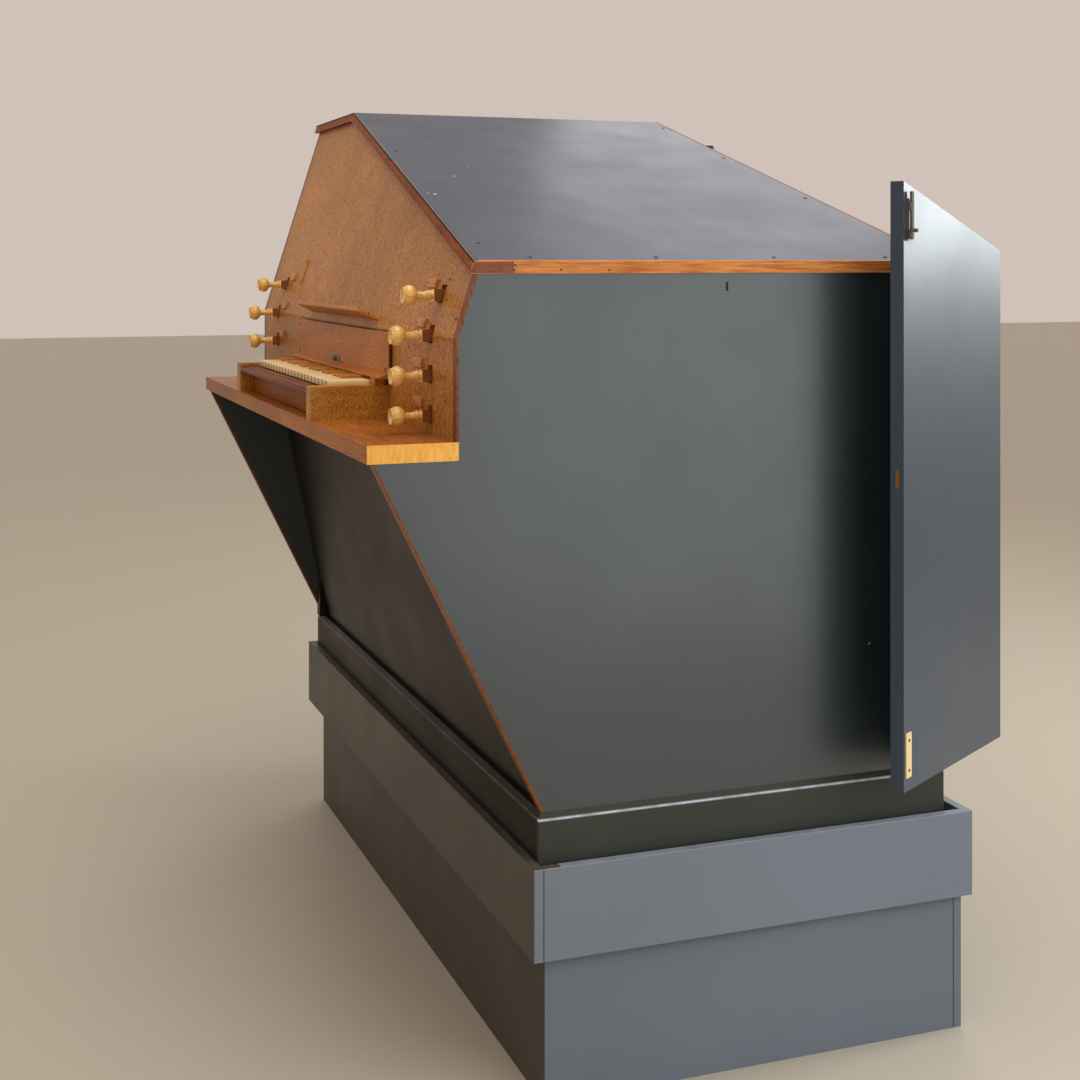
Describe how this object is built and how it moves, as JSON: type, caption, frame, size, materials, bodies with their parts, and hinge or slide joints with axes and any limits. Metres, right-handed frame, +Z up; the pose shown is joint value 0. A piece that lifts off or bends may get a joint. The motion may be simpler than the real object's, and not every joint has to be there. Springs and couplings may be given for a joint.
{
  "type": "pipe organ",
  "caption": "Small pipe organ on a stepped plinth, with a sloping grey roof, a brown console with stop knobs and a keyboard, and folding doors standing open before the pipes.",
  "frame": {"origin": "on the lowest floor, under the middle of the case's footprint, at the foot of the plinth", "axes": "+X towards the right of the player, +Y from the player towards the pipes and doors, +Z up"},
  "size_m": [2.2291, 1.4911, 1.915],
  "materials": {
    "plinth_paint": "satin bluish grey paint on board",
    "black_lacquer": "glossy black lacquer on board",
    "grey_lacquer": "satin dark grey lacquer on board",
    "edge_wood": "oiled orange brown strip",
    "varnished_wood": "glossy reddish brown varnish",
    "inner_wood": "plain planed wood",
    "pale_keys": "polished pale hardwood",
    "brown_keys": "polished brown hardwood",
    "steel": "dull steel",
    "pipe_metal": "dull pipe metal",
    "turned_boxwood": "polished pale yellow wood on a brown rod"
  },
  "bodies": {
    "case": {"sub_plinth_long_boards": "plinth_paint", "sub_plinth_cross_boards": "plinth_paint", "tray_long_boards": "plinth_paint", "tray_end_boards": "plinth_paint", "plinth_deck": "plinth_paint", "base_long_rails": "black_lacquer", "base_end_rails": "black_lacquer", "case_floor": "grey_lacquer", "side_panel_right": "grey_lacquer", "side_panel_left": "grey_lacquer", "front_edge_lippings": "edge_wood", "lower_front_panel": "black_lacquer", "cable_duct": "black_lacquer", "key_table": "varnished_wood", "console_wall_lower": "varnished_wood", "console_wall_upper": "varnished_wood", "music_ledge": "varnished_wood", "key_cheeks": "varnished_wood", "key_slip": "varnished_wood", "key_frame": "inner_wood", "natural_keys": "pale_keys", "sharp_keys": "brown_keys", "name_board": "varnished_wood", "name_board_ledge": "varnished_wood", "roof_slope_board": "grey_lacquer", "roof_top_board": "grey_lacquer", "roof_edge_bands": "edge_wood", "door_rail_board": "grey_lacquer", "door_right_narrow": "grey_lacquer", "door_right_wide": "grey_lacquer", "door_left_narrow": "grey_lacquer", "door_left_wide": "grey_lacquer", "door_hinges": "steel", "door_bolts": "steel", "lower_screen": "grey_lacquer", "wind_chest": "inner_wood", "toe_board": "inner_wood", "rack_board": "inner_wood", "metal_pipes": "pipe_metal", "wooden_pipes": "inner_wood", "stop_guides": "inner_wood"},
    "stop_right_1": {"stop_right_1": "turned_boxwood"},
    "stop_right_2": {"stop_right_2": "turned_boxwood"},
    "stop_right_3": {"stop_right_3": "turned_boxwood"},
    "stop_right_4": {"stop_right_4": "turned_boxwood"},
    "stop_left_1": {"stop_left_1": "turned_boxwood"},
    "stop_left_2": {"stop_left_2": "turned_boxwood"},
    "stop_left_3": {"stop_left_3": "turned_boxwood"},
    "stop_left_4": {"stop_left_4": "turned_boxwood"}
  },
  "joints": [
    {"name": "stop_right_1_slide", "type": "slide", "parent": "case", "child": "stop_right_1", "axis": [0, -1, 0], "range_m": [0, 0.03]},
    {"name": "stop_right_2_slide", "type": "slide", "parent": "case", "child": "stop_right_2", "axis": [0, -1, 0], "range_m": [0, 0.03]},
    {"name": "stop_right_3_slide", "type": "slide", "parent": "case", "child": "stop_right_3", "axis": [0, -1, 0], "range_m": [0, 0.03]},
    {"name": "stop_right_4_slide", "type": "slide", "parent": "case", "child": "stop_right_4", "axis": [0, -1, 0], "range_m": [0, 0.03]},
    {"name": "stop_left_1_slide", "type": "slide", "parent": "case", "child": "stop_left_1", "axis": [0, -1, 0], "range_m": [0, 0.03]},
    {"name": "stop_left_2_slide", "type": "slide", "parent": "case", "child": "stop_left_2", "axis": [0, -1, 0], "range_m": [0, 0.03]},
    {"name": "stop_left_3_slide", "type": "slide", "parent": "case", "child": "stop_left_3", "axis": [0, -1, 0], "range_m": [0, 0.03]},
    {"name": "stop_left_4_slide", "type": "slide", "parent": "case", "child": "stop_left_4", "axis": [0, -1, 0], "range_m": [0, 0.03]}
  ]
}
